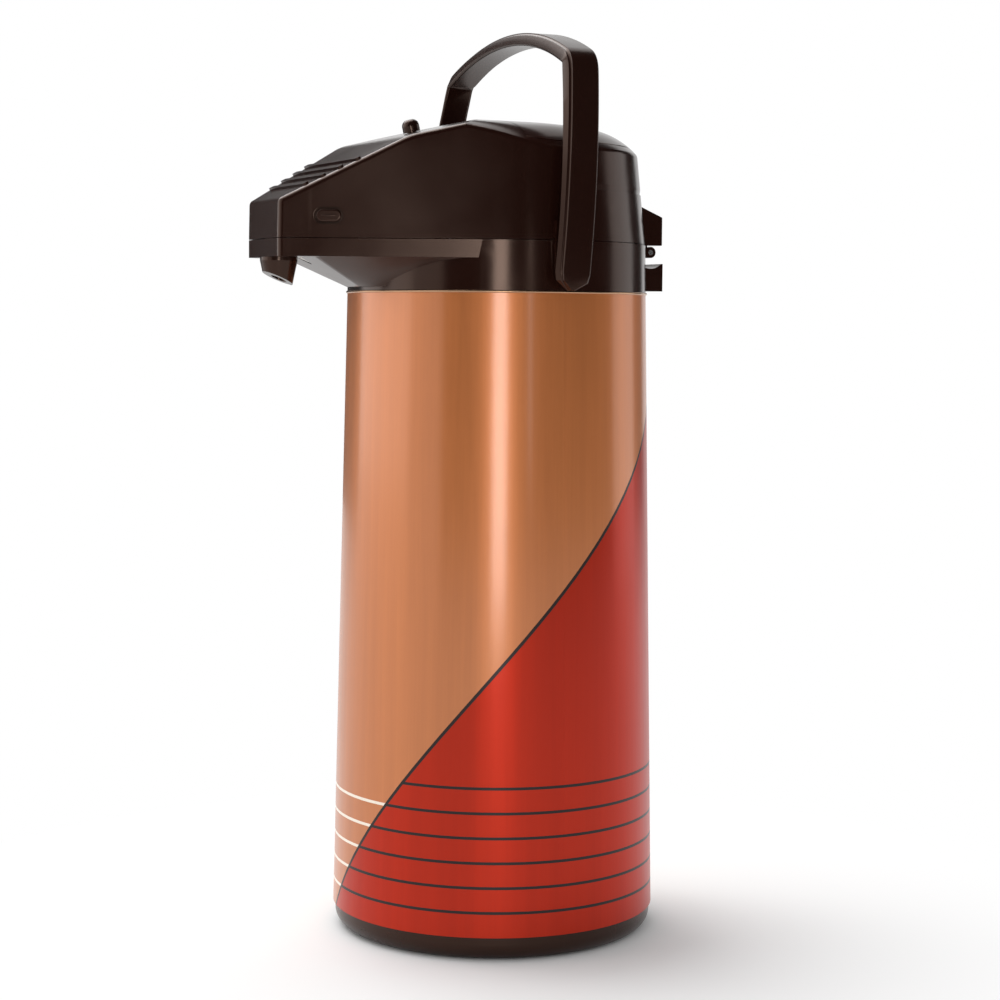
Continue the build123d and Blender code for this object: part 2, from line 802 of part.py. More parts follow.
with BuildPart() as lid_housing:
    add(lid_outer)
    with BuildSketch(Plane.XY.offset(seam + ledge_height)):
        Circle(lid_bottom_radius + 5.0)
        Circle(lid_bottom_radius - lid_draft * ledge_height - ledge_step, mode=Mode.SUBTRACT)
        with Locations((0, -lid_bottom_radius)):
            Rectangle(4 * lid_bottom_radius, 2 * lid_bottom_radius, mode=Mode.SUBTRACT)
    extrude(amount=crown_top - seam - ledge_height, taper=degrees(atan2(lid_draft, 1.0)), mode=Mode.SUBTRACT)
    add(lid_inner, mode=Mode.SUBTRACT)
    add(well.part)
    with BuildSketch(Plane.XY.offset(well_bottom + 5.0)):
        Circle(plate_radius + plate_gap)
        with Locations((0, well_front)):
            Rectangle(3 * plate_radius, 2 * plate_radius, align=(Align.CENTER, Align.MIN), mode=Mode.INTERSECT)
    extrude(amount=stroke * 2, mode=Mode.SUBTRACT)
    with BuildSketch(Plane.XY.offset(ledge_z)):
        Circle(lid_bottom_radius - lid_wall / 2)
        Circle(ledge_inner, mode=Mode.SUBTRACT)
    extrude(amount=2.0)
    with BuildSketch(Plane.XY.offset(ledge_z)):
        with PolarLocations(screw_circle, 4, start_angle=45):
            Circle(screw_radius + 2.2)
    extrude(amount=boss_height)
    with BuildSketch(Plane.XY.offset(ledge_z)):
        with PolarLocations(screw_circle, 4, start_angle=45):
            Circle(screw_radius)
    extrude(amount=boss_height - 1.0, mode=Mode.SUBTRACT)
    add(hinge_block.part)
    with BuildSketch(Plane.YZ):
        with Locations((hinge_y, hinge_z)):
            Circle(knuckle_radius)
        with Locations((hinge_y, hinge_z)):
            Rectangle(2 * knuckle_radius, block_z - hinge_z + 0.5, align=(Align.CENTER, Align.MIN))
        with Locations((hinge_y, hinge_z)):
            Circle(hinge_pin_radius + tube_fit, mode=Mode.SUBTRACT)
    extrude(amount=knuckle_half_width, both=True)
    for side in (-1, 1):
        with BuildSketch(Plane.YZ.offset(side * ear_inner_x)):
            with Locations((0, pivot_z)):
                Circle(ear_radius)
                Rectangle(2 * ear_radius, ear_top, align=(Align.CENTER, Align.MIN))
        extrude(amount=side * ear_thickness)
        with BuildSketch(Plane.YZ.offset(side * (lid_bottom_radius - lid_wall / 2))):
            with Locations((0, lid_bottom + 0.8)):
                Rectangle(
                    2 * ear_radius, pivot_z + ear_top - lid_bottom - 0.8, align=(Align.CENTER, Align.MIN)
                )
        extrude(amount=side * (ear_outer_x - lid_bottom_radius + lid_wall / 2))
        with BuildSketch(Plane.YZ.offset(side * ear_inner_x)):
            with Locations((0, pivot_z)):
                Circle(pivot_radius - 1.0 + tube_fit)
        extrude(amount=side * ear_thickness, mode=Mode.SUBTRACT)
        with BuildSketch(button_plane(side, -1.0)):
            SlotOverall(recess_length, recess_width)
        extrude(amount=-(recess_depth + 1.0), mode=Mode.SUBTRACT)
        with BuildSketch(button_plane(side, 0.0)):
            SlotOverall(button_length + 2 * button_gap, button_width + 2 * button_gap)
        extrude(amount=-2 * lid_wall, mode=Mode.SUBTRACT)
    for step in range(rib_count):
        rib_y = rib_first_y + step * rib_pitch
        rib_plane = Plane(
            origin=(0, rib_y, deck_z(rib_y)),
            x_dir=(1, 0, 0),
            z_dir=(0, -sin(radians(nose_slope_angle)), cos(radians(nose_slope_angle))),
        )
        with BuildSketch(rib_plane.offset(-1.0)):
            SlotOverall(2 * (wall_x(rib_y) - rib_margin), rib_width)
        extrude(amount=rib_height + 1.0)
    with BuildSketch(deck_plane.offset(-2 * lid_wall)):
        with Locations((0, lock_travel / 2)):
            SlotCenterToCenter(lock_travel, 2 * (lock_stem_radius + 0.3), rotation=90)
    extrude(amount=3 * lid_wall, mode=Mode.SUBTRACT)
    with BuildSketch(Plane.XZ.offset(-well_front - 1.0)):
        with Locations((0, tongue_z - 0.5)):
            Rectangle(2 * (tongue_half + 0.6), tongue_thickness + 3.2, align=(Align.CENTER, Align.MIN))
    extrude(amount=well_wall + 2.0, mode=Mode.SUBTRACT)
lid_housing.part.label = "lid_housing"

# Inner plate of the lid, with the cup that holds the bellows
plate_z = lid_bottom + 0.9
cup_bottom = seam - cup_depth + 0.9
inner_plate_radius = block_inner - 0.5
with BuildPart() as lid_inner_plate:
    with BuildSketch(Plane.XY.offset(plate_z)):
        Circle(inner_plate_radius)
    extrude(amount=inner_plate_thickness)
    with BuildSketch(Plane.XY.offset(cup_bottom)):
        Circle(cup_radius)
    extrude(amount=plate_z - cup_bottom)
    with BuildSketch(Plane.XY.offset(cup_bottom + cup_wall)):
        Circle(cup_radius - cup_wall)
    extrude(amount=cup_depth + inner_plate_thickness, mode=Mode.SUBTRACT)
    with BuildSketch(Plane.XY.offset(cup_bottom)):
        Circle(1.2)
        with PolarLocations(valve_radius - 2.6, 4):
            Circle(1.4)
    extrude(amount=cup_wall, mode=Mode.SUBTRACT)
    with BuildSketch(Plane.XY.offset(plate_z)):
        with PolarLocations(screw_circle, 4, start_angle=45):
            Circle(screw_radius + 0.2)
    extrude(amount=inner_plate_thickness, mode=Mode.SUBTRACT)
lid_inner_plate.part.label = "lid_inner_plate"

# Four screws hold the inner plate under the ledge
with BuildPart() as lid_screws:
    with BuildSketch(Plane.XY.offset(plate_z - 1.5)):
        with PolarLocations(screw_circle, 4, start_angle=45):
            Circle(screw_head_radius)
    extrude(amount=1.5)
    with BuildSketch(Plane.XY.offset(plate_z)):
        with PolarLocations(screw_circle, 4, start_angle=45):
            Circle(screw_radius - 0.05)
    extrude(amount=ledge_z - plate_z + boss_height - 1.5)
lid_screws.part.label = "lid_screws"

# Rubber seal that closes the mouth under the cup
with BuildPart() as lid_seal:
    with BuildSketch(Plane.XY.offset(bowl_z + seam_gap)):
        Circle(seal_radius)
        Circle(seal_radius - seal_width, mode=Mode.SUBTRACT)
    extrude(amount=cup_bottom - bowl_z - seam_gap)
lid_seal.part.label = "lid_seal"

# Bellows between the cup's floor and the plunger
bellows_z = cup_bottom + cup_wall
with BuildPart() as bellows:
    with BuildSketch(Plane.XZ):
        half_fold = bellows_height / (2 * bellows_folds)
        outer_line = []
        inner_line = []
        for step in range(2 * bellows_folds + 1):
            fold_z = bellows_z + step * half_fold
            fold_r = bellows_radius - bellows_fold * (1 - step % 2)
            outer_line.append((fold_r, fold_z))
            inner_line.append((fold_r - 1.6 * bellows_wall, fold_z))
        Polygon(*outer_line, *reversed(inner_line), align=None)
    revolve(axis=Axis.Z)
bellows.part.label = "bellows"

# Return spring inside the bellows
spring_length = bellows_height - spring_wire - 0.4
with BuildPart() as return_spring:
    with BuildLine(Plane.XY.offset(bellows_z + spring_wire / 2 + 0.2)) as coil:
        Helix(spring_length / spring_turns, spring_length, spring_radius)
    with BuildSketch(Plane(origin=coil.line @ 0, z_dir=coil.line % 0)):
        Circle(spring_wire / 2)
    sweep(path=coil.line, is_frenet=True)
return_spring.part.label = "return_spring"

# Outlet valve, a rubber flap under the cup's floor
with BuildPart() as outlet_valve:
    with BuildSketch(Plane.XY.offset(cup_bottom - valve_thickness)):
        Circle(valve_radius)
    extrude(amount=valve_thickness)
    with BuildSketch(Plane.XY.offset(cup_bottom)):
        Circle(1.15)
    extrude(amount=cup_wall + 1.6)
outlet_valve.part.label = "outlet_valve"

# Plunger disc on the bellows, with a boss inside the push plate's stem
plunger_z = bellows_z + bellows_height
with BuildPart() as plunger_disc:
    with BuildSketch(Plane.XY.offset(plunger_z)):
        Circle(bellows_radius - 2.0)
    extrude(amount=plunger_thickness)
    with BuildSketch(Plane.XY.offset(plunger_z)):
        Circle(stem_radius - stem_wall - 0.2)
    extrude(amount=plunger_thickness + 5.0)
    with BuildSketch(Plane.XY.offset(plunger_z + 2.0)):
        Circle(stem_radius - stem_wall - 2.2)
    extrude(amount=plunger_thickness + 5.0, mode=Mode.SUBTRACT)
    with BuildSketch(Plane.XY.offset(plunger_z)):
        Circle(1.2)
        with PolarLocations(valve_radius - 2.6, 4):
            Circle(1.4)
    extrude(amount=2.0, mode=Mode.SUBTRACT)
plunger_disc.part.label = "plunger_disc"

# Intake valve, a rubber flap under the plunger
with BuildPart() as intake_valve:
    with BuildSketch(Plane.XY.offset(plunger_z - valve_thickness)):
        Circle(valve_radius)
    extrude(amount=valve_thickness)
    with BuildSketch(Plane.XY.offset(plunger_z)):
        Circle(1.15)
    extrude(amount=3.4)
intake_valve.part.label = "intake_valve"

# Push plate: a crowned cap with a skirt, a stem and ribs underneath
with BuildPart() as plate_core:
    with BuildSketch(Plane.XY.offset(plunger_z + plunger_thickness)):
        Circle(stem_radius)
    extrude(amount=crown_top - plunger_z)
    with BuildSketch(Plane.XY.offset(skirt_bottom + 2.0)):
        with Locations((0, plate_front + 1.0)):
            Rectangle(2.0, plate_radius + 13.0, align=(Align.CENTER, Align.MIN))
        with Locations((0, 0), (0, 26.0)):
            Rectangle(2 * plate_radius - 14.0, 2.0)
    extrude(amount=crown_top - skirt_bottom)
    with BuildSketch(Plane.XY.offset(plunger_z + plunger_thickness)):
        Circle(stem_radius - stem_wall)
    extrude(amount=crown_top - plunger_z, mode=Mode.SUBTRACT)
    add(crown_form(plate_thickness / 2), mode=Mode.INTERSECT)
with BuildPart() as plate_hollow:
    with BuildSketch(Plane.XY.offset(skirt_bottom - 1.0)):
        Circle(plate_radius - skirt_wall)
        with Locations((0, plate_front + skirt_wall)):
            Rectangle(3 * plate_radius, 2 * plate_radius, align=(Align.CENTER, Align.MIN), mode=Mode.INTERSECT)
    extrude(amount=crown_top - skirt_bottom + 1.0)
    add(inner_crown, mode=Mode.INTERSECT)
with BuildPart() as push_plate:
    with BuildSketch(Plane.XY.offset(skirt_bottom)):
        Circle(plate_radius)
        with Locations((0, plate_front)):
            Rectangle(3 * plate_radius, 2 * plate_radius, align=(Align.CENTER, Align.MIN), mode=Mode.INTERSECT)
    extrude(amount=crown_top - skirt_bottom)
    add(outer_crown, mode=Mode.INTERSECT)
    add(plate_hollow.part, mode=Mode.SUBTRACT)
    add(plate_core.part)
push_plate.part.label = "push_plate"

# Lock: a domed knob on the deck and a slider below it, whose tongue goes under the push plate
with BuildPart() as lock_knob:
    with BuildSketch(deck_plane.offset(0.3)):
        Circle(lock_radius)
    extrude(amount=lock_proud - 0.3)
    fillet(lock_knob.edges().filter_by(GeomType.CIRCLE).sort_by(Axis.Z)[-1], radius=3.0)
    with BuildSketch(deck_plane.offset(-lid_wall - 1.8)):
        Circle(lock_stem_radius)
    extrude(amount=lid_wall + 2.1)
lock_knob.part.label = "lock_knob"

slider_top = lid_wall + 0.3
with BuildPart() as lock_slider:
    with BuildSketch(deck_plane.offset(-slider_top - 1.6)):
        with Locations((0, 0.5)):
            Rectangle(14.0, 21.0)
        Circle(lock_stem_radius + tube_fit, mode=Mode.SUBTRACT)
    extrude(amount=1.6)
    with BuildSketch(Plane.XY.offset(tongue_z)):
        with Locations((0, lock_y + 3.2)):
            Rectangle(2 * tongue_half, 2.0, align=(Align.CENTER, Align.MIN))
    extrude(amount=deck_z(lock_y + 3.2) - slider_top - 1.0 - tongue_z)
    with BuildSketch(Plane.XY.offset(tongue_z)):
        with Locations((0, lock_y + 3.2)):
            Rectangle(
                2 * tongue_half, well_front - well_wall - tongue_gap - lock_y - 3.2, align=(Align.CENTER, Align.MIN)
            )
    extrude(amount=tongue_thickness)
lock_slider.part.label = "lock_slider"

# Release buttons, each with its flange inside the wall and a latch that reaches down to the tray's rim
flange_depth = lid_wall + 0.3
latch_bottom = lid_bottom + latch_gap
for side, side_name in ((-1, "left"), (1, "right")):
    with BuildPart() as button:
        with BuildSketch(button_plane(side, flange_depth)):
            SlotOverall(button_length, button_width)
        extrude(amount=flange_depth + 0.4)
        fillet(button.faces().sort_by(Axis.Y)[0].edges(), radius=0.8)
        with BuildSketch(button_plane(side, flange_depth + 1.5)):
            Rectangle(button_length + 4.0, button_width + 3.6)
            with Locations((0, -(button_width + 3.6) / 2)):
                Rectangle(
                    7.0,
                    button_z - latch_bottom - (button_width + 3.6) / 2,
                    align=(Align.CENTER, Align.MAX),
                )
        extrude(amount=1.5)
        with BuildSketch(button_plane(side, flange_depth)):
            with Locations((0, latch_bottom - button_z)):
                Rectangle(7.0, 2.0, align=(Align.CENTER, Align.MIN))
        extrude(amount=button_lean)
    button.part.label = "release_button_" + side_name
    export_step(button.part, "parts/release_button_" + side_name + ".step")

# Handle: two leaning arms and an arched grip
handle_plane = Plane(
    origin=(0, 0, pivot_z),
    x_dir=(1, 0, 0),
    z_dir=(0, -cos(radians(handle_lean)), sin(radians(handle_lean))),
)
arch_rise = arch_top - shoulder_height
arch_radius = (shoulder_x**2 + arch_rise**2) / (2 * arch_rise)
arm_foot_x = arm_outer_x + 0.4
inner_arch_x = shoulder_x - arm_thickness - 1.0
inner_arch_z = arch_top - arch_radius + sqrt((arch_radius - arch_thickness) ** 2 - inner_arch_x**2)
with BuildPart() as handle:
    with BuildSketch(handle_plane):
        with BuildLine():
            ThreePointArc((arm_foot_x, -arm_foot), (arm_bow_x, arm_bow_height), (shoulder_x, shoulder_height))
            RadiusArc((shoulder_x, shoulder_height), (0, arch_top), -arch_radius)
            Line((0, arch_top), (0, arch_top - arch_thickness))
            RadiusArc((0, arch_top - arch_thickness), (inner_arch_x, inner_arch_z), arch_radius - arch_thickness)
            ThreePointArc(
                (inner_arch_x, inner_arch_z),
                (arm_bow_x - arm_thickness, arm_bow_height),
                (arm_foot_x - arm_thickness, -arm_foot),
            )
            Line((arm_foot_x - arm_thickness, -arm_foot), (arm_foot_x, -arm_foot))
        half_bail = make_face()
        fillet(half_bail.vertices().sort_by_distance((shoulder_x, shoulder_height))[0], radius=handle_corner)
        mirror(about=Plane.YZ)
    extrude(amount=handle_width / 2, both=True)
    fillet(handle.edges().filter_by(Axis.X).sort_by(Axis.Z)[:4], radius=foot_corner)
    for side in (-1, 1):
        with BuildSketch(Plane.YZ.offset(side * (arm_outer_x - arm_thickness - 2.0))):
            with Locations((0, pivot_z)):
                Circle(pivot_radius + tube_fit)
        extrude(amount=side * (2.0 + pivot_depth + 0.3), mode=Mode.SUBTRACT)
handle.part.label = "handle"

# Pivot pins, riveted in the lid's ears, each with a washer shoulder
washer_end_x = arm_outer_x - arm_thickness - 0.3
for side, side_name in ((-1, "left"), (1, "right")):
    with BuildPart() as pivot:
        with BuildSketch(Plane.YZ.offset(side * ear_inner_x)):
            with Locations((0, pivot_z)):
                Circle(pivot_radius - 1.0)
        extrude(amount=side * ear_thickness)
        with BuildSketch(Plane.YZ.offset(side * ear_outer_x)):
            with Locations((0, pivot_z)):
                Circle(pivot_washer_radius)
        extrude(amount=side * (washer_end_x - ear_outer_x))
        with BuildSketch(Plane.YZ.offset(side * washer_end_x)):
            with Locations((0, pivot_z)):
                Circle(pivot_radius)
        extrude(amount=side * (pivot_depth + 0.3))
    pivot.part.label = "handle_pivot_" + side_name
    export_step(pivot.part, "parts/handle_pivot_" + side_name + ".step")

for piece in (
    base_ring, base_cap, casing, liner_outer_glass, liner_inner_bowl, liner_inner_wall,
    liner_inner_shoulder, liner_cushion, neck_gasket, collar, hinge_pin, dip_tube, tube_elbow, pour_tube, spout_head, spout_nozzle, lid_housing,
    lid_inner_plate, lid_screws, lid_seal, bellows, return_spring, outlet_valve, plunger_disc,
    intake_valve, push_plate, lock_knob, lock_slider, handle,
):
    export_step(piece.part, "parts/" + piece.part.label + ".step")
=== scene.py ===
import math

import bmesh
import bpy
from mathutils import Matrix, Vector


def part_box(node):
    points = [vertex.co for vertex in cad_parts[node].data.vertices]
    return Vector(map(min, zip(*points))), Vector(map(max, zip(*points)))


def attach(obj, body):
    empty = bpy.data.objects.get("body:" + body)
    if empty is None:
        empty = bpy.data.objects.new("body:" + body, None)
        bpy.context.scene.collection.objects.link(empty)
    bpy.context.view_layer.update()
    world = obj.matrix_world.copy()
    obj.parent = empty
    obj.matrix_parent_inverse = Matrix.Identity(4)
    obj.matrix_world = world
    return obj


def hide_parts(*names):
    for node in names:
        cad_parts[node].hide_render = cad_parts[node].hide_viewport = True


bl_info = {
    "name": "Air Pot Dresser",
    "version": (1, 0, 0),
    "blender": (4, 5, 0),
    "location": "View3D > Sidebar > Air Pot",
    "description": "Dresses the packed air pot with its finishes and finer pieces, and lights it",
    "category": "Object",
}

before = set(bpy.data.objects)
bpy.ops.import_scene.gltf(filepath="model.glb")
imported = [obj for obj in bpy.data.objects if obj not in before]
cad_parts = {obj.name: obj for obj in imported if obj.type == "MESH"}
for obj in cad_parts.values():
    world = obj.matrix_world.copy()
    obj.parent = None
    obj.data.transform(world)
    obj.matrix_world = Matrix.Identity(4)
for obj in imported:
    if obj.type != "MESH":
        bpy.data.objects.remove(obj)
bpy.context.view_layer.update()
casing_low, casing_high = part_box("casing")


def colour(name, description, value):
    """A colour property."""
    return bpy.props.FloatVectorProperty(
        name=name, description=description, default=value, size=3, subtype="COLOR", min=0.0, max=1.0
    )


def length(name, description, value):
    """A length property in metres."""
    return bpy.props.FloatProperty(name=name, description=description, default=value, unit="LENGTH", precision=5)


def angle(name, description, value):
    """An angle property, given in degrees and kept in radians."""
    return bpy.props.FloatProperty(
        name=name, description=description, default=math.radians(value), subtype="ANGLE"
    )


def factor(name, description, value):
    """A share from 0 to 1."""
    return bpy.props.FloatProperty(
        name=name, description=description, default=value, min=0.0, max=1.0, subtype="FACTOR"
    )


class AirPotColours(bpy.types.PropertyGroup):
    """Colours of the pot's finishes."""

    brown: colour("Brown plastic", "Moulded plastic of the foot, collar, lid and handle", (0.0125, 0.0037, 0.0024))
    copper: colour("Copper lacquer", "Upper field of the casing", (0.53, 0.17, 0.05))
    red: colour("Red lacquer", "Lower field of the casing", (0.44, 0.018, 0.0015))
    ink: colour("Dark ink", "Diagonal line and the stripes on the red", (0.012, 0.004, 0.003))
    cream: colour("Cream ink", "Stripes on the copper", (0.86, 0.76, 0.64))
    rim: colour("Bare rim", "Rolled edge of the casing", (0.5, 0.3, 0.18))
    glass: colour("Silvering", "Silvered glass of the flask", (0.86, 0.86, 0.88))
    steel: colour("Steel", "Spring, screws and pins", (0.6, 0.6, 0.6))
    seal: colour("Rubber", "Seals, gasket, cushion and valves", (0.5, 0.48, 0.43))
    inner: colour("Inner plastic", "Lid's inner plate and the dip tube", (0.72, 0.7, 0.63))
    tube: colour("Soft tube", "Pouring tube", (0.62, 0.62, 0.58))
    bellows: colour("Bellows", "Soft plastic of the bellows", (0.74, 0.73, 0.68))
    floor: colour("Floor", "Studio floor", (0.9, 0.9, 0.9))


class AirPotSizes(bpy.types.PropertyGroup):
    """Sizes of the printed pattern and of the finer pieces."""

    stripe_first: length("First stripe", "Height of the lowest stripe", 0.0221)
    stripe_pitch: length("Stripe pitch", "Distance between stripes", 0.01105)
    stripe_width: length("Stripe width", "Width of a stripe", 0.0013)
    stripes: bpy.props.IntProperty(name="Stripes", description="Number of stripes on the red", default=6, min=1)
    line_start: length("Line at the front", "Height of the diagonal line below the spout", 0.028)
    line_rise: length("Line's rise", "Climb of the diagonal line for each radian round", 0.0913)
    line_bend: length("Line's bend", "How much the line falls away from straight", 0.00318)
    line_width: length("Line width", "Width of the dark line", 0.0014)
    handle_edge: length("Handle edge", "Rounding along the handle's edges", 0.0013)
    rim_radius: length("Rim radius", "Radius of the casing's rolled rim from the axis", 0.069)
    rim_bead: length("Rim bead", "Thickness of the rolled rim, as a radius", 0.0006)
    finger_bar: length("Finger bar", "Length of the raised bar on a release button", 0.0066)
    seam_width: length("Seam width", "Width of the casing's folded seam", 0.0046)
    seam_proud: length("Seam height", "How far the folded seam stands proud", 0.00035)
    bar_proud: length("Bar height", "How far a finger bar stands proud", 0.0004)


class AirPotHandle(bpy.types.PropertyGroup):
    """Outline of the carrying handle: heights along the arm from its pins, and widths from the middle."""

    pivot_height: length("Pins", "Height of the handle's pins", 0.3048)
    lean: angle("Lean", "How far the handle leans back at rest", 6.0)
    arm_thickness: length("Arm thickness", "Thickness of an arm", 0.0056)
    foot_out: length("Foot width", "Outside of an arm at its foot", 0.0802)
    foot_drop: length("Foot drop", "How far an arm reaches below its pin", 0.0093)
    bow_out: length("Bow width", "Outside of an arm at its bow", 0.0763)
    bow_height: length("Bow height", "Height of the bow", 0.045)
    shoulder_out: length("Shoulder width", "Outside of an arm at the shoulder", 0.0661)
    shoulder_height: length("Shoulder height", "Height of the shoulder", 0.095)
    arch_top: length("Arch top", "Height of the arch's outside", 0.11)
    arch_thickness: length("Arch thickness", "Thickness of the arch", 0.0074)
    half_width: length("Half width", "Half of the handle's breadth", 0.0077)
    foot_round: length("Foot rounding", "Rounding of an arm's foot", 0.007)
    tip_half_width: length("Tip", "Half of the breadth at the very end of a foot", 0.0011)
    corner_turn: bpy.props.FloatProperty(
        name="Corner",
        description="How far round the arch the shoulder's rounding reaches",
        default=0.045,
        subtype="ANGLE",
    )


class AirPotStudio(bpy.types.PropertyGroup):
    """Camera, floor and lamps."""

    azimuth: angle("Azimuth", "Camera's direction round the pot, from the front", 64.7)
    distance: length("Distance", "Camera's distance from the pot's axis", 1.0423)
    height: length("Height", "Camera's height", 0.2823)
    tilt: angle("Tilt", "Downward tilt of the camera", 4.583)
    roll: angle("Roll", "Roll of the camera", 0.452)
    pan: angle("Pan", "Sideways turn of the camera", -0.129)
    lens: bpy.props.FloatProperty(
        name="Lens", description="Focal length on a 36 mm sensor", default=80.58, unit="CAMERA"
    )
    shadow_reach: length("Shadow reach", "How far from the axis the floor is plain paper", 0.1)
    shadow_fade: length("Shadow fade", "Distance over which the floor turns white", 0.2)
    ambient: factor("Ambient", "World's light on rough surfaces", 0.56)


class Value:
    """A socket's value; arithmetic on it adds Math nodes to the finish it belongs to."""

    def __init__(self, finish, socket):
        self.finish = finish
        self.socket = socket

    def math(self, operation, *others, clamp=False):
        settings = {"operation": operation, "use_clamp": clamp}
        sockets = dict(enumerate((self, *others)))
        return self.finish.node("ShaderNodeMath", settings, sockets)

    def __add__(self, other):
        return self.math("ADD", other)

    def __radd__(self, other):
        return self.math("ADD", other)

    def __sub__(self, other):
        return self.math("SUBTRACT", other)

    def __rsub__(self, other):
        return (self * -1.0).math("ADD", other)

    def __mul__(self, other):
        return self.math("MULTIPLY", other)

    def __rmul__(self, other):
        return self.math("MULTIPLY", other)

    def __truediv__(self, other):
        return self.math("DIVIDE", other)

    def __lt__(self, other):
        return self.math("LESS_THAN", other)

    def __gt__(self, other):
        return self.math("GREATER_THAN", other)

    def size(self):
        return self.math("ABSOLUTE")

    def clamped(self):
        return self.math("ADD", 0.0, clamp=True)


class Finish:
    """A material whose nodes are added one at a time and end in a Principled shader."""

    def __init__(self, name, owner=None):
        self.material = owner or bpy.data.materials.new(name)
        self.material.use_nodes = True
        self.tree = self.material.node_tree
        self.tree.nodes.clear()

    def node(self, kind, settings=None, sockets=None, output=0):
        """Adds a node: its settings first, then its sockets' values or links. Gives back one output, if it has any."""
        made = self.tree.nodes.new(kind)
        for key, value in (settings or {}).items():
            setattr(made, key, value)
        for key, value in (sockets or {}).items():
            if isinstance(value, Value):
                self.tree.links.new(value.socket, made.inputs[key])
            else:
                made.inputs[key].default_value = value
        return Value(self, made.outputs[output]) if made.outputs else None

    def place(self, stretch=(1.0, 1.0, 1.0)):
        """The point on the surface in metres, each axis multiplied by stretch."""
        point = self.node("ShaderNodeTexCoord", output="Object")
        return self.node("ShaderNodeVectorMath", {"operation": "MULTIPLY"}, {0: point, 1: stretch})

    def axes(self):
        """The point's three coordinates in metres."""
        point = self.node("ShaderNodeTexCoord", output="Object")
        return [self.node("ShaderNodeSeparateXYZ", None, {0: point}, output=axis) for axis in range(3)]

    def noise(self, scale, detail=2.0, stretch=(1.0, 1.0, 1.0), rough=0.5):
        """Noise with features about 1/scale metres across."""
        sockets = {"Vector": self.place(stretch), "Scale": scale, "Detail": detail, "Roughness": rough}
        return self.node("ShaderNodeTexNoise", None, sockets)

    def mix(self, share, first, second):
        """Colour mix: first where share is 0, second where it is 1."""
        settings = {"data_type": "RGBA", "clamp_factor": True}
        pair = [value if isinstance(value, Value) else (*value[:3], 1.0) for value in (first, second)]
        return self.node("ShaderNodeMix", settings, {0: share, 6: pair[0], 7: pair[1]}, output=2)

    def bump(self, height, depth, strength=1.0):
        """Normal from a height of 0 to 1 that stands for depth metres."""
        return self.node("ShaderNodeBump", None, {"Height": height, "Strength": strength, "Distance": depth})

    def surface(self, **sockets):
        """Ends the material in a Principled shader with these sockets."""
        named = {key.replace("_", " "): value for key, value in sockets.items()}
        for key, value in named.items():
            if key == "Base Color" and not isinstance(value, Value):
                named[key] = (*value[:3], 1.0)
        shader = self.node("ShaderNodeBsdfPrincipled", None, named)
        self.node("ShaderNodeOutputMaterial", None, {"Surface": shader})
        return self.material


def colours():
    """The scene's colour settings."""
    return bpy.context.scene.air_pot_colours


def sizes():
    """The scene's size settings."""
    return bpy.context.scene.air_pot_sizes


def studio():
    """The scene's camera and lamp settings."""
    return bpy.context.scene.air_pot_studio


def moulded_plastic(name, tint, gloss=0.17, swirl=0.5):
    """Glossy moulded plastic: slight waviness, handling haze and fine scratches."""
    finish = Finish(name)
    haze = finish.noise(22.0, 3.0, rough=0.55)
    scratches = finish.noise(260.0, 2.0, stretch=(1.0, 1.0, 0.06))
    lines = ((scratches - 0.66) * 9.0).clamped()
    specks = ((finish.noise(1500.0, 1.0) - 0.76) * 12.0).clamped()
    roughness = ((haze - 0.45) * 0.22).clamped() + gloss + lines * 0.04 + specks * 0.12
    lighter = [min(1.0, channel * 1.4 + 0.001) for channel in tint]
    shade = finish.mix(haze * 0.5, tint, lighter)
    wave = finish.noise(30.0, 1.0)
    peel = finish.noise(900.0, 2.0)
    height = wave * swirl + peel * 0.035 - lines * 0.015
    return finish.surface(
        Base_Color=shade,
        Roughness=roughness,
        Normal=finish.bump(height, 0.00012),
        IOR=1.45,
        Specular_Tint=(1.0, 0.7, 0.56, 1.0),
    )


def matt_plastic(name, tint, rough=0.42, glow=0.0):
    """Plain moulded plastic with a fine spark-eroded grain."""
    finish = Finish(name)
    grain = finish.noise(1600.0, 3.0)
    cloud = finish.noise(30.0, 3.0)
    darker = [channel * 0.86 for channel in tint]
    return finish.surface(
        Base_Color=finish.mix(cloud, darker, tint),
        Roughness=grain * 0.16 + rough - 0.08,
        Normal=finish.bump(grain, 0.00006),
        Subsurface_Weight=glow,
        Subsurface_Radius=(0.004, 0.004, 0.003),
    )


def rubber(name, tint):
    """Silicone rubber with a dull skin, dust and moulding haze."""
    finish = Finish(name)
    dust = finish.noise(420.0, 4.0, rough=0.7)
    cloud = finish.noise(60.0, 3.0)
    darker = [channel * 0.74 for channel in tint]
    return finish.surface(
        Base_Color=finish.mix(cloud, darker, tint),
        Roughness=dust * 0.3 + 0.42,
        Normal=finish.bump(dust, 0.00005),
    )


def bright_metal(name, tint, rough=0.24, stretch=(1.0, 1.0, 1.0)):
    """Plain metal with drawing lines and a little tarnish."""
    finish = Finish(name)
    lines = finish.noise(2200.0, 2.0, stretch=stretch)
    tarnish = finish.noise(90.0, 4.0, rough=0.65)
    darker = [channel * 0.7 for channel in tint]
    return finish.surface(
        Base_Color=finish.mix((tarnish - 0.3).clamped(), tint, darker),
        Metallic=1.0,
        Roughness=lines * 0.14 + tarnish * 0.12 + rough - 0.12,
        Normal=finish.bump(lines, 0.00003),
    )


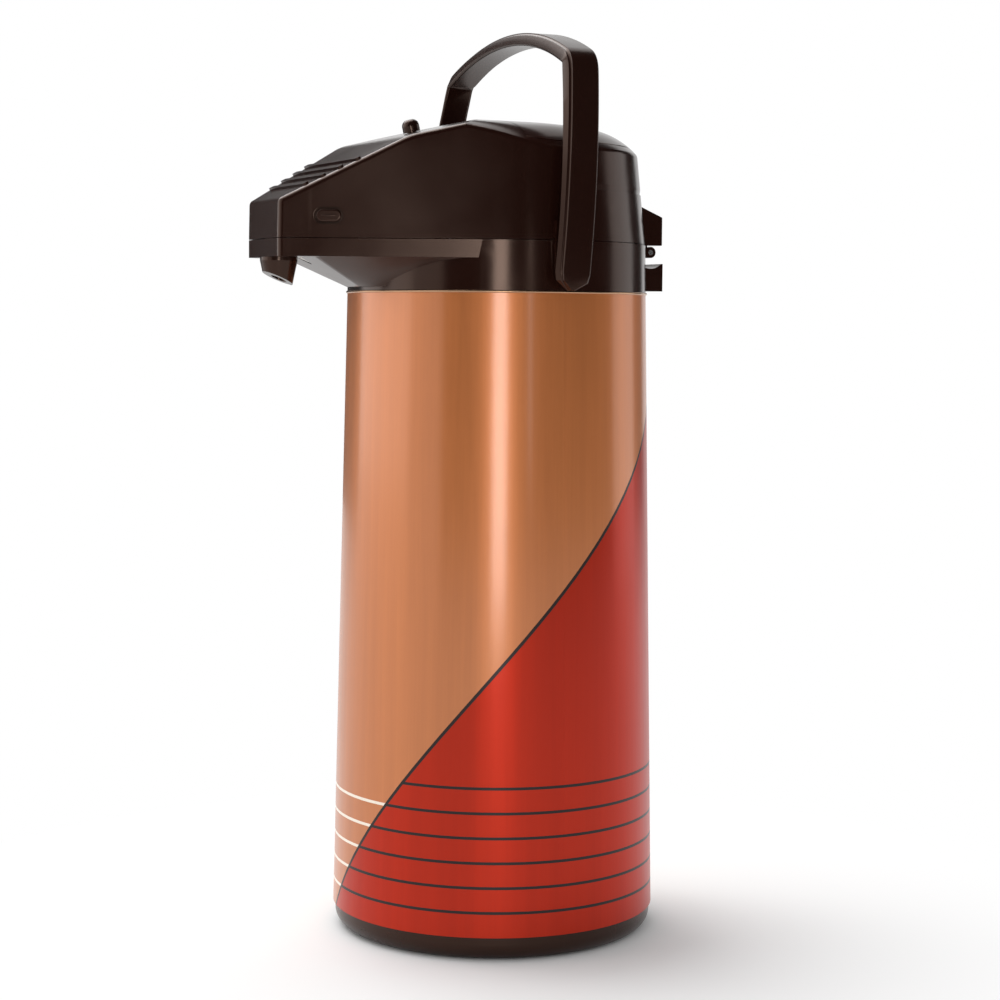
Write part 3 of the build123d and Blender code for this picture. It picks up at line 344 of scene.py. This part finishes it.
def silvered_glass():
    """Glass blown thin and silvered inside the wall, with faint ripples and a tint to the silvering."""
    finish = Finish("silvered_glass")
    ripple = finish.noise(26.0, 2.0, stretch=(1.0, 1.0, 0.4))
    cloud = finish.noise(14.0, 3.0)
    tint = tuple(colours().glass)
    warm = (tint[0], tint[1] * 0.93, tint[2] * 0.86)
    return finish.surface(
        Base_Color=finish.mix(cloud, tint, warm),
        Metallic=0.9,
        Roughness=cloud * 0.06 + 0.03,
        Normal=finish.bump(ripple, 0.0006),
        Coat_Weight=1.0,
        Coat_Roughness=0.02,
    )


def casing_lacquer():
    """Metallic lacquer over vertically brushed sheet, printed with the two fields, the line and the stripes."""
    tints = colours()
    print_sizes = sizes()
    finish = Finish("casing_lacquer")
    x, y, z = finish.axes()
    round_from_spout = x.math("ARCTAN2", y * -1.0)
    line_height = (
        round_from_spout * print_sizes.line_rise
        + print_sizes.line_start
        - round_from_spout * round_from_spout * print_sizes.line_bend
    )
    above_line = z - line_height
    on_red = above_line < 0.0
    line_slope = math.radians(51.0)
    half_line = print_sizes.line_width / 2.0 / math.cos(line_slope)
    on_line = above_line.size() < half_line
    step = (z - print_sizes.stripe_first) / print_sizes.stripe_pitch
    nearest = step.math("ROUND")
    near_stripe = (step - nearest).size() < print_sizes.stripe_width / 2.0 / print_sizes.stripe_pitch
    low_enough = nearest < print_sizes.stripes - 0.5
    cream_enough = nearest < print_sizes.stripes - 1.5
    high_enough = nearest > -0.5
    dark_stripe = near_stripe * low_enough * high_enough * on_red
    cream_stripe = near_stripe * cream_enough * high_enough * (1.0 - on_red)

    brushing = finish.noise(1000.0, 2.0, stretch=(1.0, 1.0, 0.012))
    wide_brushing = finish.noise(160.0, 2.0, stretch=(1.0, 1.0, 0.02))
    flake = finish.noise(3800.0, 1.0)
    wear = finish.noise(18.0, 4.0, rough=0.6)
    copper = finish.mix(
        wide_brushing * 0.7 + brushing * 0.3,
        [channel * 0.84 for channel in tints.copper],
        [min(1.0, channel * 1.14) for channel in tints.copper],
    )
    red = finish.mix(
        wide_brushing * 0.7 + brushing * 0.3,
        [channel * 0.85 for channel in tints.red],
        [min(1.0, channel * 1.15) for channel in tints.red],
    )
    field = finish.mix(on_red, copper, red)
    striped = finish.mix(cream_stripe, field, tints.cream)
    dark = on_line.math("MAXIMUM", dark_stripe)
    printed = finish.mix(dark, striped, tints.ink)
    ink = dark.math("MAXIMUM", cream_stripe)
    height = brushing * 0.35 + flake * 0.1 + ink * 0.5
    return finish.surface(
        Base_Color=printed,
        Metallic=(1.0 - ink) * (on_red * 0.25 + 0.5),
        Specular_IOR_Level=0.25,
        Roughness=brushing * 0.1 + wear * 0.12 + 0.24,
        Normal=finish.bump(height, 0.00003),
        Coat_Weight=(1.0 - dark) * (0.5 - on_red * 0.35) + dark * 0.12,
        Coat_Roughness=0.16,
        Coat_IOR=1.75,
    )


def dress(material, *nodes):
    """Gives these CAD nodes one material."""
    for name in nodes:
        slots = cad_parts[name].data.materials
        slots.clear()
        slots.append(material)


def piece(name, mesh, material, body):
    """A new shown piece that rides on a body and takes its finish from a slot."""
    mesh.materials.append(material)
    made = bpy.data.objects.new(name, mesh)
    bpy.context.collection.objects.link(made)
    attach(made, body)
    return made


def mesh_from(name, build, smooth_angle=35.0):
    """A mesh filled by build(bm), with clean outward normals and smooth shading up to the angle."""
    bm = bmesh.new()
    build(bm)
    bmesh.ops.remove_doubles(bm, verts=bm.verts, dist=1e-6)
    bmesh.ops.recalc_face_normals(bm, faces=bm.faces)
    mesh = bpy.data.meshes.new(name)
    bm.to_mesh(mesh)
    bm.free()
    mesh.shade_smooth()
    mesh.set_sharp_from_angle(angle=math.radians(smooth_angle))
    return mesh


def lathe(bm, section, steps=192):
    """Turns a closed section of (radius, height) points round the Z axis."""
    rings = []
    for step in range(steps):
        turn = 2.0 * math.pi * step / steps
        rings.append([bm.verts.new((r * math.cos(turn), r * math.sin(turn), z)) for r, z in section])
    for step in range(steps):
        here, there = rings[step], rings[(step + 1) % steps]
        for place in range(len(section)):
            after = (place + 1) % len(section)
            bm.faces.new((here[place], there[place], there[after], here[after]))


def bead(radius, height, thickness, points=16):
    """Round section of a rolled edge."""
    turns = [2.0 * math.pi * point / points for point in range(points)]
    return [(radius + thickness * math.cos(turn), height + thickness * math.sin(turn)) for turn in turns]


def loft(bm, sections):
    """Skins closed sections of equal length and caps both ends."""
    rings = [[bm.verts.new(point) for point in section] for section in sections]
    for here, there in zip(rings, rings[1:]):
        for place in range(len(here)):
            after = (place + 1) % len(here)
            bm.faces.new((here[place], here[after], there[after], there[place]))
    bm.faces.new(rings[0])
    bm.faces.new(list(reversed(rings[-1])))


def rounded_bar(outer, inner, across, half_width, edge, corner_steps=5):
    """Rounded rectangle between an outer and an inner point, half_width to each side along across."""
    centre = (outer + inner) / 2.0
    up = (outer - inner) / 2.0
    half = up.length
    up = up.normalized()
    edge = min(edge, half * 0.98, half_width * 0.98)
    points = []
    quarter = math.radians(90.0)
    for corner, (side_u, side_a) in enumerate(((1, 1), (1, -1), (-1, -1), (-1, 1))):
        for step in range(corner_steps + 1):
            turn = quarter * (corner + step / corner_steps)
            u = side_u * (half - edge) + edge * math.cos(turn)
            a = side_a * (half_width - edge) + edge * math.sin(turn)
            points.append((u, a))
    ordered = sorted(points, key=lambda point: math.atan2(point[1] / half_width, point[0] / half))
    return [centre + up * u + across * a for u, a in ordered]


def arc_through(start, middle, end, steps):
    """Points on the circle through three points, from start to end."""
    (ax, ay), (bx, by), (cx, cy) = start, middle, end
    spread = 2.0 * (ax * (by - cy) + bx * (cy - ay) + cx * (ay - by))
    ux = ((ax**2 + ay**2) * (by - cy) + (bx**2 + by**2) * (cy - ay) + (cx**2 + cy**2) * (ay - by)) / spread
    uy = ((ax**2 + ay**2) * (cx - bx) + (bx**2 + by**2) * (ax - cx) + (cx**2 + cy**2) * (bx - ax)) / spread
    radius = math.hypot(ax - ux, ay - uy)
    first = math.atan2(ay - uy, ax - ux)
    last = math.atan2(cy - uy, cx - ux)
    sweep = (last - first + math.pi) % (2.0 * math.pi) - math.pi
    turns = [first + sweep * step / steps for step in range(steps + 1)]
    return [(ux + radius * math.cos(turn), uy + radius * math.sin(turn)) for turn in turns]


class AIRPOT_OT_casing(bpy.types.Operator):
    """Lacquers the casing and adds its rolled rim and folded seam"""

    bl_idname = "airpot.casing"
    bl_label = "Casing"

    def execute(self, context):
        lacquer = casing_lacquer()
        dress(lacquer, "casing")
        rim_metal = bright_metal("casing_rim_metal", colours().rim, 0.22)
        thickness = sizes().rim_bead
        top_radius = sizes().rim_radius
        bottom_radius = casing_high.x
        top = casing_high.z
        bottom = casing_low.z

        def rim(bm):
            lathe(bm, bead(top_radius, top - thickness, thickness))

        piece("casing_rim", mesh_from("casing_rim", rim), rim_metal, "pot")

        half = sizes().seam_width / 2.0
        proud = sizes().seam_proud
        sunk = 0.0004
        foot_gap, rim_gap = 0.0012, 0.0014

        def seam(bm):
            sections = []
            for share in (0.0, 1.0):
                radius = bottom_radius + (top_radius - bottom_radius) * share
                height = bottom + foot_gap + (top - bottom - foot_gap - rim_gap) * share
                profile = [(-half, -sunk), (-half, proud * 0.3), (-half * 0.72, proud), (half * 0.72, proud)]
                profile += [(half, proud * 0.3), (half, -sunk)]
                surface = [math.sqrt(radius**2 - across**2) for across, _ in profile]
                sections.append(
                    [Vector((across, depth + out, height)) for (across, out), depth in zip(profile, surface)]
                )
            loft(bm, sections)

        piece("casing_seam", mesh_from("casing_seam", seam), lacquer, "pot")
        return {"FINISHED"}


class AIRPOT_OT_moulded(bpy.types.Operator):
    """Gives the foot, collar, spout, lid, push plate and lock their glossy brown plastic"""

    bl_idname = "airpot.moulded"
    bl_label = "Brown mouldings"

    def execute(self, context):
        brown = colours().brown
        dress(moulded_plastic("brown_body_plastic", brown), "collar", "lid_housing", "push_plate")
        dress(moulded_plastic("brown_foot_plastic", brown, 0.27), "base_ring", "base_cap")
        dress(moulded_plastic("brown_spout_plastic", brown, 0.2), "spout_nozzle", "lock_knob", "lock_slider")
        return {"FINISHED"}


class AIRPOT_OT_handle(bpy.types.Operator):
    """Builds the bail handle with rounded edges in place of the plain solid"""

    bl_idname = "airpot.handle"
    bl_label = "Carrying handle"

    def execute(self, context):
        outline = context.scene.air_pot_handle
        pivot = Vector((0.0, 0.0, outline.pivot_height))
        up = Vector((0.0, math.sin(outline.lean), math.cos(outline.lean)))
        across = Vector((0.0, math.cos(outline.lean), -math.sin(outline.lean)))
        thick = outline.arm_thickness
        foot_x, foot_drop = outline.foot_out, outline.foot_drop
        bow = (outline.bow_out, outline.bow_height)
        shoulder = (outline.shoulder_out, outline.shoulder_height)
        arch_top, arch_thick = outline.arch_top, outline.arch_thickness
        rise = arch_top - shoulder[1]
        arch_radius = (shoulder[0] ** 2 + rise**2) / (2.0 * rise)
        inner_x = shoulder[0] - thick
        inner_top = arch_top - arch_radius + math.sqrt((arch_radius - arch_thick) ** 2 - inner_x**2)
        arm_steps = 28
        outer_arm = arc_through((foot_x, -foot_drop), bow, shoulder, arm_steps)
        inner_arm = arc_through(
            (foot_x - thick, -foot_drop), (bow[0] - thick, bow[1]), (inner_x, inner_top), arm_steps
        )
        stations = list(zip(outer_arm[:-2], inner_arm[:-2]))
        corner_start, corner_point = outer_arm[-3], outer_arm[-1]
        arch_centre = arch_top - arch_radius
        first = math.atan2(shoulder[0], shoulder[1] - arch_centre) - outline.corner_turn
        corner_end = (arch_radius * math.sin(first), arch_centre + arch_radius * math.cos(first))
        corner_steps = 8
        for step in range(1, corner_steps):
            share = step / corner_steps
            near = [(1 - share) ** 2, 2 * share * (1 - share), share**2]
            outer = tuple(
                near[0] * corner_start[axis] + near[1] * corner_point[axis] + near[2] * corner_end[axis]
                for axis in range(2)
            )
            stations.append((outer, inner_arm[-1]))
        arch_steps = 40
        inner_first = math.atan2(inner_x, inner_top - arch_centre)
        for step in range(arch_steps + 1):
            share = step / arch_steps
            turn = first * (1.0 - share)
            inner_turn = inner_first * (1.0 - share)
            outer = (arch_radius * math.sin(turn), arch_centre + arch_radius * math.cos(turn))
            radius = arch_radius - arch_thick
            inner = (radius * math.sin(inner_turn), arch_centre + radius * math.cos(inner_turn))
            stations.append((outer, inner))
        mirrored = [((-o[0], o[1]), (-i[0], i[1])) for o, i in reversed(stations[:-1])]
        half_width, foot_round = outline.half_width, outline.foot_round
        bar = []
        for outer, inner in stations + mirrored:
            drop = outer[1] + foot_drop
            width = half_width
            if drop < foot_round:
                width = half_width - foot_round + math.sqrt(foot_round**2 - (foot_round - drop) ** 2)
            points = [pivot + Vector((p[0], 0.0, 0.0)) + up * p[1] for p in (outer, inner)]
            width = max(width, outline.tip_half_width)
            bar.append(rounded_bar(points[0], points[1], across, width, sizes().handle_edge))

        def grip(bm):
            loft(bm, bar)

        plastic = moulded_plastic("brown_handle_plastic", colours().brown, 0.24)
        bail = piece("carrying_handle", mesh_from("carrying_handle", grip), plastic, "carry_handle")
        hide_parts("handle")
        dress(bright_metal("pivot_steel", colours().steel), "handle_pivot_left", "handle_pivot_right", "hinge_pin")
        return {"FINISHED"}


class AIRPOT_OT_buttons(bpy.types.Operator):
    """Gives the release buttons their plastic and a raised finger bar"""

    bl_idname = "airpot.buttons"
    bl_label = "Release buttons"

    def execute(self, context):
        plastic = moulded_plastic("brown_button_plastic", colours().brown, 0.2)
        dress(plastic, "release_button_left", "release_button_right")
        for side_name, side in (("left", -1.0), ("right", 1.0)):
            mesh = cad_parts["release_button_" + side_name].data
            outward = max(mesh.polygons, key=lambda face: face.normal.x * side * face.area).normal.copy()
            along = outward.cross(Vector((0.0, 0.0, 1.0))).normalized()
            up = along.cross(outward).normalized()
            reach = max(vertex.co.dot(outward) for vertex in mesh.vertices)
            rim = [vertex.co for vertex in mesh.vertices if vertex.co.dot(outward) > reach - 1e-5]
            middle = sum(rim, Vector()) / len(rim)
            half_length, half_tall = sizes().finger_bar / 2.0, sizes().finger_bar / 14.0
            proud = sizes().bar_proud
            points = 12

            def bar(bm):
                sections = []
                for share in (-1.0, -0.94, -0.8, 0.8, 0.94, 1.0):
                    shrink = {1.0: 0.35, 0.94: 0.75}.get(abs(share), 1.0)
                    ring = []
                    for step in range(points):
                        turn = 2.0 * math.pi * step / points
                        lift = up * math.cos(turn) * half_tall * shrink + outward * math.sin(turn) * proud * shrink
                        ring.append(middle + along * share * half_length + lift)
                    sections.append(ring)
                loft(bm, sections)

            name = "finger_bar_" + side_name
            piece(name, mesh_from(name, bar), plastic, "button_" + side_name)
        return {"FINISHED"}


class AIRPOT_OT_inside(bpy.types.Operator):
    """Finishes the flask, the seals, the pump and the pouring tubes"""

    bl_idname = "airpot.inside"
    bl_label = "Flask and pump"

    def execute(self, context):
        tints = colours()
        walls = [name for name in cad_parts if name.startswith("liner_") and name != "liner_cushion"]
        dress(silvered_glass(), *walls)
        dress(
            rubber("silicone_rubber", tints.seal),
            "liner_cushion", "neck_gasket", "lid_seal", "outlet_valve", "intake_valve",
        )
        dress(
            matt_plastic("inner_plastic", tints.inner),
            "lid_inner_plate", "dip_tube", "tube_elbow", "spout_head", "plunger_disc",
        )
        dress(matt_plastic("soft_tube", tints.tube, 0.34, 0.2), "pour_tube")
        dress(matt_plastic("bellows_plastic", tints.bellows, 0.38, 0.15), "bellows")
        dress(bright_metal("spring_steel", tints.steel), "return_spring", "lid_screws")
        return {"FINISHED"}


def area_lamp(name, bearing, height, reach, width, tall, watts, aim=(0.0, 0.0, 0.2)):
    """A soft box at a bearing from the camera's direction, pointed at the pot and hidden from the camera."""
    turn = studio().azimuth + math.radians(bearing)
    lamp = bpy.data.lights.new(name, "AREA")
    lamp.shape = "RECTANGLE"
    lamp.size = width
    lamp.size_y = tall
    lamp.energy = watts
    made = bpy.data.objects.new(name, lamp)
    made.location = (reach * math.sin(turn), -reach * math.cos(turn), height)
    made.rotation_euler = (Vector(aim) - Vector(made.location)).to_track_quat("-Z", "Y").to_euler()
    made.visible_camera = False
    bpy.context.collection.objects.link(made)


def flag(name, first, last, radius, top_angle, dark):
    """A dark dome over part of the set, seen only in reflections, as a studio's flags are."""
    steps, tiers = 24, 10
    below = -1.0

    def card(bm):
        rows = []
        for tier in range(tiers + 1):
            lift = math.radians(below + (top_angle - below) * tier / tiers)
            row = []
            for step in range(steps + 1):
                turn = studio().azimuth + math.radians(first + (last - first) * step / steps)
                flat = radius * math.cos(lift)
                row.append(bm.verts.new((flat * math.sin(turn), -flat * math.cos(turn), radius * math.sin(lift))))
            rows.append(row)
        for low, high in zip(rows, rows[1:]):
            for step in range(steps):
                bm.faces.new((low[step], low[step + 1], high[step + 1], high[step]))

    mesh = mesh_from(name, card)
    finish = Finish(name + "_cloth")
    mesh.materials.append(finish.surface(Base_Color=(dark, dark, dark), Roughness=1.0))
    made = bpy.data.objects.new(name, mesh)
    bpy.context.collection.objects.link(made)
    made.visible_camera = False
    made.visible_diffuse = False
    made.visible_transmission = False
    made.visible_shadow = False


class AIRPOT_OT_stage(bpy.types.Operator):
    """Sets up the pale floor, the soft boxes, the world and the camera"""

    bl_idname = "airpot.stage"
    bl_label = "Stage"

    def seen(self, finish):
        """1 for rays from the camera, mirrors and clear pieces, and 0 for those that carry soft light."""
        rays = [finish.node("ShaderNodeLightPath", output=name) for name in ("Is Camera Ray", "Is Glossy Ray")]
        through = finish.node("ShaderNodeLightPath", output="Is Transmission Ray")
        return (rays[0] + rays[1] + through).clamped()

    def execute(self, context):
        settings = studio()
        scene = context.scene
        scene.view_settings.view_transform = "Standard"

        def disc(bm):
            bmesh.ops.create_circle(bm, cap_ends=True, segments=96, radius=9.0)

        mesh = mesh_from("studio_floor", disc)
        finish = Finish("studio_floor_paper")
        paper = finish.noise(3.0, 3.0)
        tint = tuple(colours().floor)
        x, y, _ = finish.axes()
        away = (x * x + y * y).math("SQRT")
        fade = ((away - settings.shadow_reach) / settings.shadow_fade).clamped()
        seen = self.seen(finish)
        cloth = finish.node(
            "ShaderNodeBsdfPrincipled",
            None,
            {
                "Base Color": finish.mix(paper, [channel * 0.985 for channel in tint], tint),
                "Roughness": 0.9,
                "Specular IOR Level": 0.0,
            },
        )
        white = finish.node("ShaderNodeEmission", None, {"Color": (1.0, 1.0, 1.0, 1.0), "Strength": 1.0})
        finish.node("ShaderNodeOutputMaterial", None, {
            "Surface": finish.node("ShaderNodeMixShader", None, {0: fade * seen, 1: cloth, 2: white})
        })
        mesh.materials.append(finish.material)
        floor = bpy.data.objects.new("studio_floor", mesh)
        context.collection.objects.link(floor)

        world = bpy.data.worlds.new("studio_world")
        world.use_nodes = True
        scene.world = world
        sky = Finish("studio_world", world)
        strength = self.seen(sky) * (1.0 - settings.ambient) + settings.ambient
        light = sky.node("ShaderNodeBackground", None, {"Color": (1.0, 1.0, 1.0, 1.0), "Strength": strength})
        sky.node("ShaderNodeOutputWorld", None, {"Surface": light})

        flag("front_flag", -40.0, 148.0, 2.6, 80.0, 0.01)
        flag("rear_flag", -172.0, -124.0, 2.6, 30.0, 0.1)
        area_lamp("left_box", -95.0, 0.75, 1.7, 2.0, 1.3, 8.5)
        area_lamp("front_strip", 3.0, 0.25, 1.9, 0.34, 0.6, 5.5)
        area_lamp("edge_strip", 25.0, 0.42, 1.8, 0.035, 0.5, 0.35)
        area_lamp("right_box", 112.0, 0.5, 1.9, 1.0, 1.2, 4.5)
        area_lamp("top_box", -135.0, 1.9, 1.0, 1.8, 1.8, 34.0)

        camera = bpy.data.cameras.new("photo_camera")
        camera.sensor_width = 36.0
        camera.lens = settings.lens
        camera.clip_start = 0.02
        camera.clip_end = 60.0
        made = bpy.data.objects.new("photo_camera", camera)
        context.collection.objects.link(made)
        scene.camera = made
        spot = Vector((math.sin(settings.azimuth), -math.cos(settings.azimuth), 0.0)) * settings.distance
        spot.z = settings.height
        level = Matrix.Rotation(settings.pan, 3, "Z") @ Vector((-spot.x, -spot.y, 0.0)).normalized()
        right = level.cross(Vector((0.0, 0.0, 1.0)))
        forward = level * math.cos(settings.tilt) - Vector((0.0, 0.0, math.sin(settings.tilt)))
        up = right.cross(forward)
        turned_right = right * math.cos(settings.roll) + up * math.sin(settings.roll)
        turned_up = up * math.cos(settings.roll) - right * math.sin(settings.roll)
        axes = Matrix((turned_right, turned_up, -forward)).transposed()
        made.matrix_world = Matrix.Translation(spot) @ axes.to_4x4()
        return {"FINISHED"}


class AIRPOT_PT_panel(bpy.types.Panel):
    """Buttons for each step, in order, with the settings they read"""

    bl_label = "Air Pot"
    bl_idname = "AIRPOT_PT_panel"
    bl_space_type = "VIEW_3D"
    bl_region_type = "UI"
    bl_category = "Air Pot"

    def draw(self, context):
        for operator in OPERATORS:
            self.layout.operator(operator.bl_idname)
        for group in (colours(), sizes(), context.scene.air_pot_handle, studio()):
            box = self.layout.box()
            for name in group.__annotations__:
                box.prop(group, name)


GROUPS = (AirPotColours, AirPotSizes, AirPotHandle, AirPotStudio)
OPERATORS = (
    AIRPOT_OT_casing, AIRPOT_OT_moulded, AIRPOT_OT_handle, AIRPOT_OT_buttons, AIRPOT_OT_inside, AIRPOT_OT_stage,
)


def register():
    for group in GROUPS:
        bpy.utils.register_class(group)
    bpy.types.Scene.air_pot_colours = bpy.props.PointerProperty(type=AirPotColours)
    bpy.types.Scene.air_pot_sizes = bpy.props.PointerProperty(type=AirPotSizes)
    bpy.types.Scene.air_pot_handle = bpy.props.PointerProperty(type=AirPotHandle)
    bpy.types.Scene.air_pot_studio = bpy.props.PointerProperty(type=AirPotStudio)
    for operator in OPERATORS:
        bpy.utils.register_class(operator)
    bpy.utils.register_class(AIRPOT_PT_panel)


def unregister():
    bpy.utils.unregister_class(AIRPOT_PT_panel)
    for operator in reversed(OPERATORS):
        bpy.utils.unregister_class(operator)
    for name in ("air_pot_colours", "air_pot_sizes", "air_pot_handle", "air_pot_studio"):
        delattr(bpy.types.Scene, name)
    for group in reversed(GROUPS):
        bpy.utils.unregister_class(group)


def main():
    register()
    for operator in OPERATORS:
        space, step = operator.bl_idname.split(".")
        getattr(getattr(bpy.ops, space), step)()


if __name__ == "__main__":
    main()
